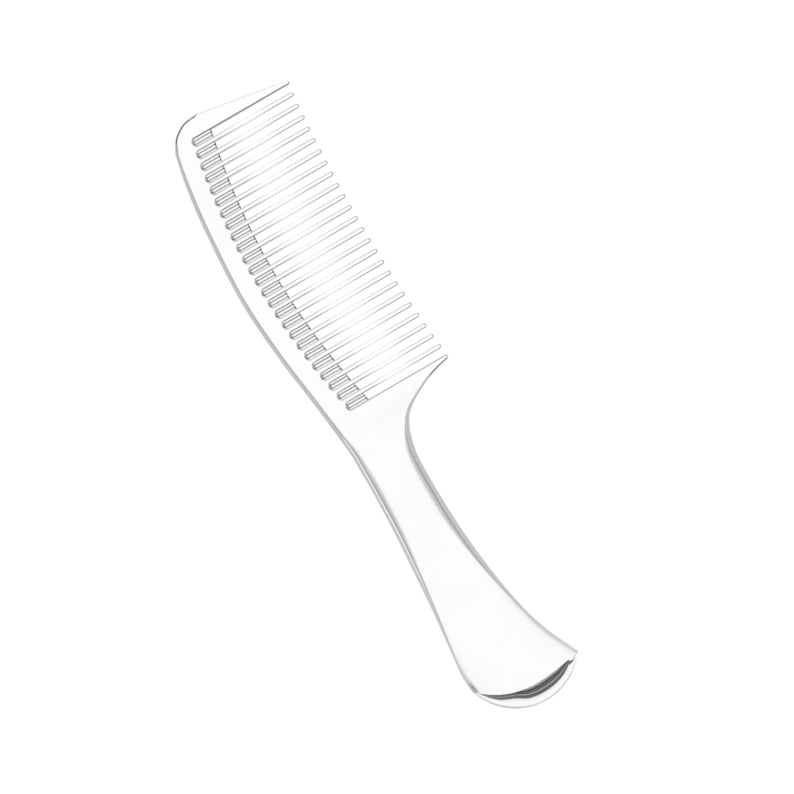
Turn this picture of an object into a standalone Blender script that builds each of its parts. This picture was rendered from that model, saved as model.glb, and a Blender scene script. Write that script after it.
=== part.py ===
"""A polished steel grooming comb lying flat, at its real size.

Frame: +Y runs from the butt to the head, +X the way the teeth point, +Z up out of the face. The origin is at
the middle of the base of the bounding box. The comb is symmetric about its mid-plane, so every height below
is a half thickness measured from that plane. Lengths are in millimetres until `build_object` makes metres.

Pieces: one forged back (spine, both guard teeth, neck and tang), 24 teeth set in slots in its front edge, two
pressed handle half-shells, the filler that fixes the tang in them, and the cap that closes the butt."""

import math

import bmesh
import bpy
from mathutils import Vector
from mathutils.geometry import delaunay_2d_cdt

MILLIMETRE = 0.001
GAP = 0.3  # left between neighbouring solids
EDGE = 0.15  # least half thickness, so that no rim is a knife edge

# Head, seen from above
NECK_Y = -10.0  # where the handle begins
HEAD_FOOT_Y = NECK_Y + GAP
HEAD_END_Y = 105.0
BACK_LINE = (
    (-18.1, HEAD_FOOT_Y), (-19.9, 8.0), (-22.3, 27.0), (-23.6, 48.0), (-22.3, 71.5),
    (-20.5, 86.5), (-18.1, 97.6),
)
HEAD_CORNER = ((-18.1, 97.6), (-15.6, 101.6), (-11.3, 104.4), (-6.7, HEAD_END_Y))
GUARD_EDGES_Y = (98.7, 2.3)  # sides of the two guard teeth that face the other teeth
GUARD_TIP_RADIUS = 0.65
UPPER_GUARD_TIP_X = 23.6
LOWER_GUARD_TIP_X = 23.1
FLARE = ((2.75, HEAD_FOOT_Y), (4.5, -7.3), (8.1, -4.6), (13.5, -1.8), (18.1, -0.1), (22.4, 1.0))

# Teeth and the recessed web between their roots
TOOTH_COUNT = 24
TOOTH_WIDTH = 1.48
TOOTH_TIP_WIDTH = 1.4
ARC_MIDDLE_Y = 50.4  # the arcs of the roots, the web and the tips share this middle
ROOT_X, ROOT_RADIUS = -16.8, 223.0
WEB_X, WEB_RADIUS = -10.1, 215.0
TIP_X, TIP_RADIUS = 20.7, 458.0
SOCKET_DEPTH = 1.5  # of each tooth behind its root
TOOTH_BEVEL = 0.2
WEB_HALF = 1.0
RECESS_WALL = 0.3
RECESS_CORNER = 0.9  # length of the rounded end of a recess

# Half thicknesses
PLATE_HALF = 2.5
TIP_HALF = 0.75
TAPER_START_X, TAPER_POWER = -16.0, 1.6
BACK_CHAMFER, CHAMFER_FADE = 1.0, 12.0
FLARE_THINNING, FLARE_FADE = 0.7, 5.0
NECK_HALF = 4.3
BUTT_HALF = 6.0

# Swelling of the spine into the neck: where it ends towards the teeth and higher up over the spine
SWELL_TOP_Y, SWELL_SPINE_RISE, SWELL_SPINE_X, SWELL_SPINE_FADE = 1.5, 6.5, -17.0, 8.0

# Handle
TANG_WIDTH, TANG_HALF, TANG_END_Y = 9.0, 1.6, -55.0
NECK_MIDDLE_X = -7.8
SHELL_WALL = 0.9
SHELL_SIDE = 1.5
CORE_SIDE, CORE_DEPTH = 2.4, 1.3  # of the filler in from the edges and under the skin
BUTT_CENTRE = (-4.0, -85.55)
BUTT_RADIUS = 19.45
BUTT_LEFT_ANGLE, BUTT_RIGHT_ANGLE = 196.5, 325.4
# Stations from neck to butt: left x, left y, right x, right y, bulge of the row, half thickness,
# and the two exponents that turn the section from a full oval to a lens
HANDLE_STATIONS = (
    (-18.1, NECK_Y, 2.65, NECK_Y, 0.0, NECK_HALF, 3.2, 0.50),
    (-18.1, -15.5, 0.6, -15.5, 0.0, 4.32, 3.1, 0.50),
    (-18.1, -22.0, -0.45, -22.0, 0.0, 4.35, 3.0, 0.50),
    (-18.6, -36.0, -0.55, -36.0, 0.0, 4.5, 2.8, 0.52),
    (-19.6, -50.0, 0.15, -50.0, 0.0, 4.7, 2.6, 0.55),
    (-20.7, -64.0, 1.75, -64.0, 0.0, 5.0, 2.4, 0.60),
    (-22.1, -77.0, 4.3, -77.5, 0.45, 5.4, 2.2, 0.65),
    (-22.95, -85.5, 7.6, -87.5, 2.0, 5.8, 2.1, 0.70),
    (-22.65, -91.07, 12.2, -96.7, 4.7, BUTT_HALF, 2.0, 0.75),
)
BULGE_SKEW = 0.45  # the rows bulge more towards the left
COLUMNS = 14
ROWS_PER_STATION = 2
NECK_ROWS, NECK_TOP_Y = 14, 9.0

STEEL = (0.78, 0.78, 0.77, 1.0)
FILLER = (0.45, 0.42, 0.38, 1.0)


def smooth_line(points, steps):
    """A Catmull-Rom curve through points of any dimension, with `steps` pieces between neighbours."""
    ends = [tuple(2 * a - b for a, b in zip(points[0], points[1]))]
    ends += [tuple(2 * a - b for a, b in zip(points[-1], points[-2]))]
    line = [ends[0], *points, ends[1]]
    curve = []
    for before, start, end, after in zip(line, line[1:], line[2:], line[3:]):
        for step in range(steps):
            t = step / steps
            curve.append(tuple(
                b + (c - a) * t / 2 + (a - 2.5 * b + 2 * c - d / 2) * t**2 + (1.5 * (b - c) + (d - a) / 2) * t**3
                for a, b, c, d in zip(before, start, end, after)
            ))
    return curve + [tuple(points[-1])]


def ease(t):
    """0 below 0, 1 above 1, and smooth between."""
    t = min(max(t, 0.0), 1.0)
    return t * t * (3 - 2 * t)


def bowed(x, radius, y):
    """Where a flat arc with its middle at x stands at height y of the head."""
    return x + (y - ARC_MIDDLE_Y) ** 2 / (2 * radius)


def x_on(line, y):
    """Where a line whose y only rises crosses y."""
    for (x0, y0), (x1, y1) in zip(line, line[1:]):
        if y0 <= y <= y1:
            return x0 + (x1 - x0) * (y - y0) / (y1 - y0)
    return line[0][0] if y < line[0][1] else line[-1][0]


def oval(u, power, root):
    """Height of a section at u, from -1 to 1 across it, as a share of its middle height."""
    return max(0.0, 1 - abs(u) ** power) ** root


def material(name, colour, metallic, roughness):
    made = bpy.data.materials.new(name)
    made.use_nodes = True
    shader = made.node_tree.nodes["Principled BSDF"]
    shader.inputs["Base Color"].default_value = colour
    shader.inputs["Metallic"].default_value = metallic
    shader.inputs["Roughness"].default_value = roughness
    return made


def build_object(name, points, faces, finish, shaded_smooth=False):
    """An object from millimetre points measured from the mid-plane, with its normals facing out."""
    mesh = bpy.data.meshes.new(name)
    lifted = [Vector((x, y, z + BUTT_HALF)) * MILLIMETRE for x, y, z in points]
    mesh.from_pydata(lifted, [], faces)
    shell = bmesh.new()
    shell.from_mesh(mesh)
    bmesh.ops.recalc_face_normals(shell, faces=shell.faces)
    shell.to_mesh(mesh)
    shell.free()
    if shaded_smooth:
        mesh.shade_smooth()
        mesh.set_sharp_from_angle(angle=math.radians(35))
    mesh.materials.append(finish)
    made = bpy.data.objects.new(name, mesh)
    bpy.context.collection.objects.link(made)
    return made


def tooth_pitch():
    gap = (GUARD_EDGES_Y[0] - GUARD_EDGES_Y[1] - TOOTH_COUNT * TOOTH_WIDTH) / (TOOTH_COUNT + 1)
    return gap + TOOTH_WIDTH


def tooth_y(index):
    """Middle of tooth `index`, counted from 0 at the head's end."""
    return GUARD_EDGES_Y[0] + TOOTH_WIDTH / 2 - tooth_pitch() * (index + 1)


def plate_half(x):
    """Half thickness of the head, flat over the spine and then ground thinner towards the tips."""
    share = min(max((x - TAPER_START_X) / (UPPER_GUARD_TIP_X - TAPER_START_X), 0.0), 1.0)
    return PLATE_HALF + (TIP_HALF - PLATE_HALF) * share ** TAPER_POWER


def neck_half(x, y, back, flare):
    """Half thickness of the head where its spine swells into the neck."""
    top = SWELL_TOP_Y + SWELL_SPINE_RISE * (1 - ease((x - SWELL_SPINE_X) / SWELL_SPINE_FADE))
    share = ease((top - y) / (top - HEAD_FOOT_Y))
    low, high = x_on(back, y), x_on(flare, y)
    across = min(max(2 * (x - low) / (high - low) - 1, -1.0), 1.0)
    return max(EDGE, (1 - share) * plate_half(x) + share * NECK_HALF * oval(across, *HANDLE_STATIONS[0][6:]))


def rounded_tip(tip_x, edge_y, side):
    """Half circle round the tip of a guard tooth; side is 1 when the other teeth lie above it."""
    middle = (tip_x - GUARD_TIP_RADIUS, edge_y - side * GUARD_TIP_RADIUS)
    angles = [side * math.radians(90 - 45 * step) for step in range(5)]
    return [(middle[0] + GUARD_TIP_RADIUS * math.cos(a), middle[1] + GUARD_TIP_RADIUS * math.sin(a))
            for a in angles]


class PlanMesh:
    """A plan of points, each with a half thickness, and of lines that the surface keeps as creases."""

    def __init__(self):
        self.points, self.halves, self.lines, self.index = [], [], [], {}

    def add(self, x, y, half):
        key = (round(x, 4), round(y, 4))
        if key not in self.index:
            self.index[key] = len(self.points)
            self.points.append(Vector((x, y)))
            self.halves.append(half)
        return self.index[key]

    def line(self, points, closed=False):
        ids = [self.add(*point) for point in points]
        self.lines += list(zip(ids, ids[1:]))
        if closed:
            self.lines.append((ids[-1], ids[0]))

    def solid(self):
        """Points and faces of the solid: the plan lifted up, mirrored down, and walled round its outline."""
        plan, _, triangles, sources, _, _ = delaunay_2d_cdt(self.points, self.lines, [], 1, 1e-5)
        halves = [self.halves[source[0]] for source in sources]
        count = len(plan)
        points = [(p.x, p.y, side * h) for side in (1, -1) for p, h in zip(plan, halves)]
        faces = [tuple(t) for t in triangles] + [tuple(count + v for v in reversed(t)) for t in triangles]
        sides = {}
        for triangle in triangles:
            for a, b in zip(triangle, (*triangle[1:], triangle[0])):
                sides[(a, b)] = (b, a)
        faces += [(b, a, a + count, b + count) for (a, b), back in sides.items() if back not in sides]
        return points, faces


def comb_back(steel):
    """Spine, guard teeth, web fingers and neck as one plan, then the tang joined on."""
    plan = PlanMesh()
    back = smooth_line(BACK_LINE, 6)
    flare = smooth_line(FLARE, 4)
    corner = smooth_line(HEAD_CORNER, 2)

    def half(x, y):
        full = neck_half(x, y, back, flare) if y < NECK_TOP_Y else plate_half(x)
        inside = min(1.0, (x - x_on(back, y)) / BACK_CHAMFER)
        return max(EDGE, full - BACK_CHAMFER * (1 - inside) * ease((y - HEAD_FOOT_Y) / CHAMFER_FADE))

    outline = [(x, y, half(x, y)) for x, y in back[:-1]]
    outline += [(x, y, PLATE_HALF - BACK_CHAMFER * (len(corner) - place) / len(corner))
                for place, (x, y) in enumerate(corner)]
    outline += [(x, y, half(x, y)) for x, y in reversed(rounded_tip(UPPER_GUARD_TIP_X, GUARD_EDGES_Y[0], -1))]
    outline += web_edge(plan)
    outline += [(x, y, half(x, y)) for x, y in rounded_tip(LOWER_GUARD_TIP_X, GUARD_EDGES_Y[1], 1)]
    outline += [(x, y, max(EDGE, plate_half(x) * FLARE_THINNING * ease((y - HEAD_FOOT_Y) / FLARE_FADE)))
                for x, y in reversed(flare)]
    neck_row = [handle_point(0.0, column, 0.0, 0.0) for column in range(COLUMNS + 1)]
    outline += [(x, HEAD_FOOT_Y, max(EDGE, z)) for x, _, z in reversed(neck_row[1:-1])]
    plan.line(outline, closed=True)

    ring = [(x + BACK_CHAMFER, y) for x, y in back[:-1] if y > NECK_TOP_Y]
    ring += [(x + 0.7 * BACK_CHAMFER, y - 0.7 * BACK_CHAMFER) for x, y in corner[1:-1]]
    plan.line([(x, y, half(x, y)) for x, y in ring])
    for row in range(1, NECK_ROWS):
        y = HEAD_FOOT_Y + (NECK_TOP_Y - HEAD_FOOT_Y) * row / NECK_ROWS
        low = x_on(back, y)
        high = x_on(flare, y) if y < 1.0 else bowed(ROOT_X, ROOT_RADIUS, y) - 2.0
        for column in range(1, COLUMNS):
            x = low + (high - low) * (0.5 - 0.5 * math.cos(math.pi * column / COLUMNS))
            plan.add(x, y, half(x, y))

    made = build_object("comb_back", *plan.solid(), steel)
    tang_edges = (NECK_MIDDLE_X - TANG_WIDTH / 2, NECK_MIDDLE_X + TANG_WIDTH / 2)
    tang = block("tang_guide", tang_edges, (TANG_END_Y, NECK_Y + 3.0), TANG_HALF, steel)
    cut(made, tang, "UNION")
    return made


def web_edge(plan):
    """Front edge of the web from the upper guard tooth to the lower one, with a slot for each tooth, and the
    rim and floor of the recess behind each stretch of it."""
    slot_half = TOOTH_WIDTH / 2 + GAP
    outline = []
    for gap in range(TOOTH_COUNT + 1):
        upper = GUARD_EDGES_Y[0] if gap == 0 else tooth_y(gap - 1) - slot_half
        lower = GUARD_EDGES_Y[1] if gap == TOOTH_COUNT else tooth_y(gap) + slot_half
        level = (upper + lower) / 2
        front, root = bowed(WEB_X, WEB_RADIUS, level), bowed(ROOT_X, ROOT_RADIUS, level)
        upper_wall = [(front, upper, plate_half(front))] if gap == 0 else []
        lower_wall = [(front, lower, plate_half(front))] if gap == TOOTH_COUNT else []
        upper_floor = upper - RECESS_WALL * len(upper_wall)
        lower_floor = lower + RECESS_WALL * len(lower_wall)
        rim = upper_wall + recess_end(root, upper, lower, PLATE_HALF) + lower_wall
        floor = recess_end(root + RECESS_WALL, upper_floor, lower_floor, WEB_HALF)
        if gap > 0:
            slot_end = bowed(ROOT_X, ROOT_RADIUS, tooth_y(gap - 1)) - SOCKET_DEPTH - GAP
            outline += [(slot_end, upper, PLATE_HALF), rim[0], floor[0]]
        outline += upper_wall
        outline += [(front, upper_floor, WEB_HALF), (front, lower_floor, WEB_HALF)]
        outline += lower_wall
        if upper_wall:
            floor = [(front, upper_floor, WEB_HALF)] + floor
        if lower_wall:
            floor = floor + [(front, lower_floor, WEB_HALF)]
        if gap < TOOTH_COUNT:
            slot_end = bowed(ROOT_X, ROOT_RADIUS, tooth_y(gap)) - SOCKET_DEPTH - GAP
            outline += [floor[-1], rim[-1], (slot_end, lower, PLATE_HALF)]
        plan.line(rim)
        plan.line(floor)
    return outline


def recess_end(root, upper, lower, half):
    """Rounded end of a recess whose deepest point is at root."""
    width = upper - lower
    ends = ((1.0, 0.0), (0.28, 0.22), (0.0, 0.5), (0.28, 0.78), (1.0, 1.0))
    return [(root + RECESS_CORNER * depth, upper - share * width, half) for depth, share in ends]


def block(name, x_range, y_range, half, finish):
    """A box standing equally above and below the mid-plane, used only to join or to cut."""
    corners = [(x, y, z) for x in x_range for y in y_range for z in (-half, half)]
    faces = [(0, 1, 3, 2), (4, 6, 7, 5), (0, 4, 5, 1), (2, 3, 7, 6), (0, 2, 6, 4), (1, 5, 7, 3)]
    guide = build_object(name, corners, faces, finish)
    guide.hide_render = True
    guide.display_type = "WIRE"
    return guide


def cut(target, tool, operation="DIFFERENCE"):
    change = target.modifiers.new(tool.name, "BOOLEAN")
    change.operation = operation
    change.object = tool


def tooth(index, steel):
    """One tooth, full height at its root and ground to a thin rounded tip."""
    y = tooth_y(index)
    start = bowed(ROOT_X, ROOT_RADIUS, y) - SOCKET_DEPTH
    tip = bowed(TIP_X, TIP_RADIUS, y)
    tip_start = tip - 1.0
    stations = [(start + (tip_start - start) * step / 4, 1.0) for step in range(5)]
    stations += [(tip - 0.3, 0.75), (tip, 0.35)]
    rings = []
    for x, share in stations:
        width = TOOTH_WIDTH + (TOOTH_TIP_WIDTH - TOOTH_WIDTH) * (x - start) / (tip - start)
        across, up = width / 2 * share, plate_half(x) * (0.5 + 0.5 * share)
        bevel = TOOTH_BEVEL * share
        profile = ((across, up - bevel), (across - bevel, up))
        quarter = [*profile, *[(-a, b) for a, b in reversed(profile)]]
        rings.append([(x, y + a, b) for a, b in quarter] + [(x, y - a, -b) for a, b in quarter])
    return loft(f"tooth_{index + 1:02d}", rings, steel)


def loft(name, rings, finish, shaded_smooth=False):
    """A solid skinned over rings of equally many points, with flat ends."""
    size = len(rings[0])
    points = [point for ring in rings for point in ring]
    faces = [tuple(range(size)), tuple(range(len(points) - size, len(points)))]
    for row in range(len(rings) - 1):
        for a in range(size):
            b = (a + 1) % size
            faces.append((row * size + a, row * size + b, (row + 1) * size + b, (row + 1) * size + a))
    return build_object(name, points, faces, finish, shaded_smooth)


def handle_point(along, column, side, depth):
    """Point of the handle's upper surface. `along` counts stations from the neck, `column` goes from the left
    edge to the right one, and the surface lies `side` in from the edges and `depth` under the skin."""
    rows = handle_stations()
    left_x, left_y, right_x, right_y, bulge, half, power, root = rows[round(along * ROWS_PER_STATION)]
    u = -math.cos(math.pi * column / COLUMNS)
    share = (u + 1) / 2
    width = math.hypot(right_x - left_x, right_y - left_y)
    share = (side + (width - 2 * side) * share) / width
    x = left_x + (right_x - left_x) * share
    skewed = 2 * share - 1
    y = left_y + (right_y - left_y) * share - bulge * (1 - skewed ** 2) * (1 - BULGE_SKEW * skewed)
    return x, y, (half - depth) * oval(u, power, root)


def handle_stations():
    return smooth_line(HANDLE_STATIONS, ROWS_PER_STATION)


def handle_shell(name, side, steel):
    """One pressed half of the handle; side is 1 for the front half and -1 for the rear one."""
    count = COLUMNS + 1
    rows = ROWS_PER_STATION * (len(HANDLE_STATIONS) - 1) + 1
    points, faces = [], []
    for row in range(rows):
        along = row / ROWS_PER_STATION
        for inset, wall in ((0.0, 0.0), (SHELL_SIDE, SHELL_WALL)):
            for column in range(count):
                x, y, z = handle_point(along, column, inset, wall + EDGE)
                points.append((x, y, side * (z + EDGE)))
    for row in range(rows):
        outer, inner = 2 * count * row, 2 * count * row + count
        for column in range(COLUMNS):
            if row in (0, rows - 1):
                faces.append((outer + column, outer + column + 1, inner + column + 1, inner + column))
            if row < rows - 1:
                for start in (outer, inner):
                    a, b = start + column, start + column + 1
                    faces.append((a, b, b + 2 * count, a + 2 * count))
        if row < rows - 1:
            for column in (0, COLUMNS):
                a, b = outer + column, inner + column
                faces.append((a, b, b + 2 * count, a + 2 * count))
    return build_object(name, points, faces, steel, True)


def handle_core(filler):
    """Set filler inside the shells, cast round the tang."""
    rows = ROWS_PER_STATION * (len(HANDLE_STATIONS) - 1)
    rings = []
    for row in range(rows):
        along = row / ROWS_PER_STATION
        upper = [handle_point(along, column, CORE_SIDE, CORE_DEPTH) for column in range(COLUMNS + 1)]
        shift = 0.0 if row else -GAP
        upper = [(x, y + shift, max(z, EDGE)) for x, y, z in upper]
        rings.append(upper + [(x, y, -z) for x, y, z in reversed(upper)])
    core = loft("handle_core", rings, filler)
    socket_edges = (NECK_MIDDLE_X - TANG_WIDTH / 2 - GAP, NECK_MIDDLE_X + TANG_WIDTH / 2 + GAP)
    socket_ends = (TANG_END_Y - GAP, NECK_Y + 2.0)
    cut(core, block("tang_socket_guide", socket_edges, socket_ends, TANG_HALF + GAP, filler))
    return core


def butt_cap(steel):
    """Domed end that closes the shells and rolls over from one face of the handle to the other."""
    last = len(HANDLE_STATIONS) - 1
    turns = 10
    columns = range(1, COLUMNS)
    rings = []
    for column in columns:
        x, y, z = handle_point(last, column, 0.0, 0.0)
        share = 0.5 - 0.5 * math.cos(math.pi * column / COLUMNS)
        angle = math.radians(BUTT_LEFT_ANGLE + (BUTT_RIGHT_ANGLE - BUTT_LEFT_ANGLE) * share)
        rim_x = BUTT_CENTRE[0] + BUTT_RADIUS * math.cos(angle)
        rim_y = BUTT_CENTRE[1] + BUTT_RADIUS * math.sin(angle)
        y -= GAP
        ring = []
        for turn in range(turns + 1):
            roll = math.pi * (0.5 - turn / turns)
            out = math.cos(roll)
            ring.append((x + (rim_x - x) * out, y + (rim_y - y) * out, z * math.sin(roll)))
        rings.append(ring)
    return loft("butt_cap", rings, steel, True)


def main():
    for old in list(bpy.data.objects):
        bpy.data.objects.remove(old, do_unlink=True)
    steel = material("polished_steel", STEEL, 1.0, 0.12)
    filler = material("handle_filler", FILLER, 0.0, 0.9)
    comb_back(steel)
    for index in range(TOOTH_COUNT):
        tooth(index, steel)
    handle_shell("handle_front_shell", 1, steel)
    handle_shell("handle_rear_shell", -1, steel)
    handle_core(filler)
    butt_cap(steel)


main()
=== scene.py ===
"""Looks of the steel grooming comb: its fine surfaces, finishes, light, floor and camera.

Plan lengths, and half thicknesses measured from the comb's mid-plane, are in millimetres until `piece` makes
metres. The comb is symmetric about that plane, so only the upper surface is described."""

import math

import bmesh
import bpy
from mathutils import Matrix, Vector
from mathutils.geometry import delaunay_2d_cdt
from mathutils.kdtree import KDTree


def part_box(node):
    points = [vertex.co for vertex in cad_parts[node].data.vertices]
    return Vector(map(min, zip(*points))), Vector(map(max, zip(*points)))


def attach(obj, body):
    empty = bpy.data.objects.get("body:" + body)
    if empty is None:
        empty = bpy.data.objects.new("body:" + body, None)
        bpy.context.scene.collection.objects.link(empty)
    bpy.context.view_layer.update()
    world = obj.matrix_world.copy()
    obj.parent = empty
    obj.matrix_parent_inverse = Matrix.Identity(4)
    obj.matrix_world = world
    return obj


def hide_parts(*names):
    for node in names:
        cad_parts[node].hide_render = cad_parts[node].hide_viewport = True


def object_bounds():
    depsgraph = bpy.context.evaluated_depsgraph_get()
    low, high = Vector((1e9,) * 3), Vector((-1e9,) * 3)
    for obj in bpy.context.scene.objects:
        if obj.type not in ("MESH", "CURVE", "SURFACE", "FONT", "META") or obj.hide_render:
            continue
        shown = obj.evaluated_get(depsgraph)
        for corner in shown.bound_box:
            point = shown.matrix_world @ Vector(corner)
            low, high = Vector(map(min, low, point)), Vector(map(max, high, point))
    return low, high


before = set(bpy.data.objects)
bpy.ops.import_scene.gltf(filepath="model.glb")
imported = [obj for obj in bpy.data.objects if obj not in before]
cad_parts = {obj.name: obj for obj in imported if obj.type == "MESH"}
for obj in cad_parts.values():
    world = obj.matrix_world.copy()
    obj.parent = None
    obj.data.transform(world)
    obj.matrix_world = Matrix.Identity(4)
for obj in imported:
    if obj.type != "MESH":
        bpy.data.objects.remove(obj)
cad_low, cad_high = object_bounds()

MM = 0.001
MIDDLE_Z = (cad_low.z + cad_high.z) / 2
SEAM = 0.004  # half the hairline left where two pieces meet
EDGE = 0.04  # half thickness left at a fully rolled edge

# Head, seen from above
HEAD_END_Y = cad_high.y / MM
TIP_X = cad_high.x / MM
NECK_Y = -10.0
BACK_LINE = (
    (-18.1, NECK_Y), (-19.9, 8.0), (-22.3, 27.0), (-23.6, 48.0), (-22.3, 71.5),
    (-20.5, 86.5), (-18.1, 97.6),
)
HEAD_CORNER = ((-18.1, 97.6), (-15.6, 101.6), (-11.3, 104.4), (-6.7, HEAD_END_Y))
FLARE = ((2.7, NECK_Y), (4.5, -7.3), (8.1, -4.6), (13.5, -1.8), (18.1, -0.1), (22.4, 1.0))
BELOW_NECK_LEFT = (-18.1, -15.5)
BELOW_NECK_RIGHT = (0.6, -15.5)
GUARD_EDGES_Y = (98.7, 2.3)
GUARD_TIP_RADIUS = 0.65
LOWER_GUARD_TIP_X = 23.1

# Teeth and the recessed web between their roots
TOOTH_COUNT = 24
ARC_MIDDLE_Y = 50.4
ROOT_X, ROOT_RADIUS = -16.8, 223.0
WEB_X, WEB_RADIUS = -10.1, 215.0
# Recess behind a gap, from its wall to its floor: distance in from its rim, half thickness, and how much
# lower that line dips at its back end
RECESS_PROFILE = (
    (0.02, 1.62, 0.0), (0.34, 1.52, 0.22), (0.62, 1.43, 0.34),
    (0.68, 1.36, 0.32), (0.88, 1.06, 0.05), (0.94, 1.0, 0.0),
)
FRONT_WIDTH, FRONT_DEPTH = 0.5, 0.40  # chamfer along the web's front edge

# Half thicknesses
PLATE_HALF = 2.5
TIP_HALF = 0.75
TAPER_START_X, TAPER_POWER = -16.0, 1.6
NECK_HALF = 4.3
# The head swells into the neck below SWELL_TOP_Y, and below a level SWELL_RISE higher along the spine. Those
# levels meet over SWELL_SPREAD from SWELL_SPINE_X on.
SWELL_TOP_Y, SWELL_RISE, SWELL_SPINE_X, SWELL_SPREAD = 1.5, 6.5, -17.0, 8.0

# Handle stations: left x, left y, right x, right y, bulge of the row, half thickness, crown towards the left
# and the right edge, width of the left and the right edge roll
HANDLE_STATIONS = (
    (-18.6, -5.0, 6.8, -5.0, 0.0, 4.2, 0.0, 0.0, 3.0, 1.2),
    (-18.1, NECK_Y, 2.7, NECK_Y, 0.0, NECK_HALF, 0.0, 0.0, 3.4, 2.0),
    (-18.1, -15.5, 0.6, -15.5, 0.0, 4.32, 0.0, 0.0, 4.2, 3.6),
    (-18.1, -22.0, -0.45, -22.0, 0.0, 4.35, 0.0, 0.0, 4.8, 4.8),
    (-18.6, -36.0, -0.55, -36.0, 0.0, 4.5, 0.02, 0.05, 4.2, 5.0),
    (-19.6, -50.0, 0.15, -50.0, 0.0, 4.7, 0.08, 0.15, 2.7, 3.2),
    (-20.7, -64.0, 1.75, -64.0, 0.0, 5.0, 0.18, 0.36, 1.5, 1.6),
    (-22.1, -77.0, 4.3, -77.5, 0.45, 5.4, 0.32, 0.44, 0.9, 0.8),
    (-22.95, -85.5, 7.6, -87.5, 2.0, 5.8, 0.44, 0.46, 0.5, 0.6),
    (-22.65, -91.07, 12.2, -96.7, 4.7, 6.0, 0.52, 0.48, 0.4, 0.5),
)
BULGE_SKEW = 0.45  # the rows bulge more towards the left
BUTT_CENTRE = (-4.0, -85.55)
BUTT_RADIUS = -cad_low.y / MM + BUTT_CENTRE[1]
BUTT_LEFT_ANGLE, BUTT_RIGHT_ANGLE = 196.5, 325.4
# How steeply the butt's dome sets off from its crease, by the share of the way across from its left end
BUTT_FULLNESS = ((0.0, 0.40), (0.06, 0.41), (0.32, 0.70), (0.45, 0.62), (0.6, 0.62), (0.85, 0.52))
DOME_POWER, FLAT_END_POWER = 1.15, 2.6
BUTT_LEAN = 0.08  # how far the dome's lines lean ahead near the left end, so that they run along the comb
BUTT_FLAT_SHARE, BUTT_FLAT_SPREAD = 0.87, 0.03  # where the dome turns into the flatter right end
SHELL_WALL, SHELL_SIDE = 0.9, 1.5
TANG_X, TANG_WIDTH, TANG_HALF, TANG_END_Y = -7.8, 9.0, 1.6, -55.0


def smooth_line(points, steps, before=None, after=None):
    """A Catmull-Rom curve through points of any dimension; before and after are neighbours past its ends."""
    before = before or tuple(2 * a - b for a, b in zip(points[0], points[1]))
    after = after or tuple(2 * a - b for a, b in zip(points[-1], points[-2]))
    line = [before, *points, after]
    curve = []
    for p, q, r, s in zip(line, line[1:], line[2:], line[3:]):
        for step in range(steps):
            t = step / steps
            curve.append(tuple(
                b + 0.5 * ((c - a) * t + (2 * a - 5 * b + 4 * c - d) * t**2 + (3 * (b - c) + d - a) * t**3)
                for a, b, c, d in zip(p, q, r, s)
            ))
    return curve + [tuple(points[-1])]


def ease(t):
    """0 below 0, 1 above 1, and smooth between."""
    t = min(max(t, 0.0), 1.0)
    return t * t * (3 - 2 * t)


def keyed(keys, at):
    """Values between keys ((at, value, ...), ...) in rising order, eased from one to the next."""
    if at <= keys[0][0]:
        return keys[0][1:]
    for low, high in zip(keys, keys[1:]):
        if at <= high[0]:
            share = ease((at - low[0]) / (high[0] - low[0]))
            return tuple(a + (b - a) * share for a, b in zip(low[1:], high[1:]))
    return keys[-1][1:]


def roll(share, power=2.0):
    """Height of a rounded edge at a share of its width in from the edge, from 0 to 1."""
    share = min(max(share, 0.0), 1.0)
    return (1 - (1 - share) ** power) ** (1 / power)


def bowed(x, radius, y):
    """A line across the head at x, bowed towards the back, as its x at a level."""
    return x + (y - ARC_MIDDLE_Y) ** 2 / (2 * radius)


def plate_half(x):
    """Half thickness of the head, flat over the spine and then ground thinner towards the tips."""
    share = min(max((x - TAPER_START_X) / (TIP_X - TAPER_START_X), 0.0), 1.0)
    return PLATE_HALF - (PLATE_HALF - TIP_HALF) * share ** TAPER_POWER


def body_half(x, y):
    """Half thickness of the head away from its edges, with the swelling into the neck."""
    top = SWELL_TOP_Y + SWELL_RISE * (1 - ease((x - SWELL_SPINE_X) / SWELL_SPREAD))
    share = ease((top - y) / (top - NECK_Y))
    return (1 - share) * plate_half(x) + share * NECK_HALF


# ---------------------------------------------------------------- meshes

def piece(name, points, faces, finish, nodes, sharp=35.0):
    """A closed piece from millimetre points, riding on the only body and standing for CAD nodes."""
    mesh = bpy.data.meshes.new(name)
    mesh.from_pydata([(x * MM, y * MM, z * MM + MIDDLE_Z) for x, y, z in points], [], faces)
    work = bmesh.new()
    work.from_mesh(mesh)
    bmesh.ops.remove_doubles(work, verts=work.verts, dist=1e-7)
    bmesh.ops.recalc_face_normals(work, faces=work.faces)
    work.to_mesh(mesh)
    work.free()
    mesh.shade_smooth()
    mesh.set_sharp_from_angle(angle=math.radians(sharp))
    mesh.materials.append(finish)
    made = bpy.data.objects.new(name, mesh)
    bpy.context.scene.collection.objects.link(made)
    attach(made, "root")
    if nodes:
        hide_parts(*nodes)
    return made


def tube_faces(rings, size):
    """Quads between successive rings of equally many points, with flat ends."""
    faces = [tuple(range(size)), tuple(range((rings - 1) * size, rings * size))]
    for row in range(rings - 1):
        for a in range(size):
            b = (a + 1) % size
            faces.append((row * size + a, row * size + b, (row + 1) * size + b, (row + 1) * size + a))
    return faces


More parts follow.
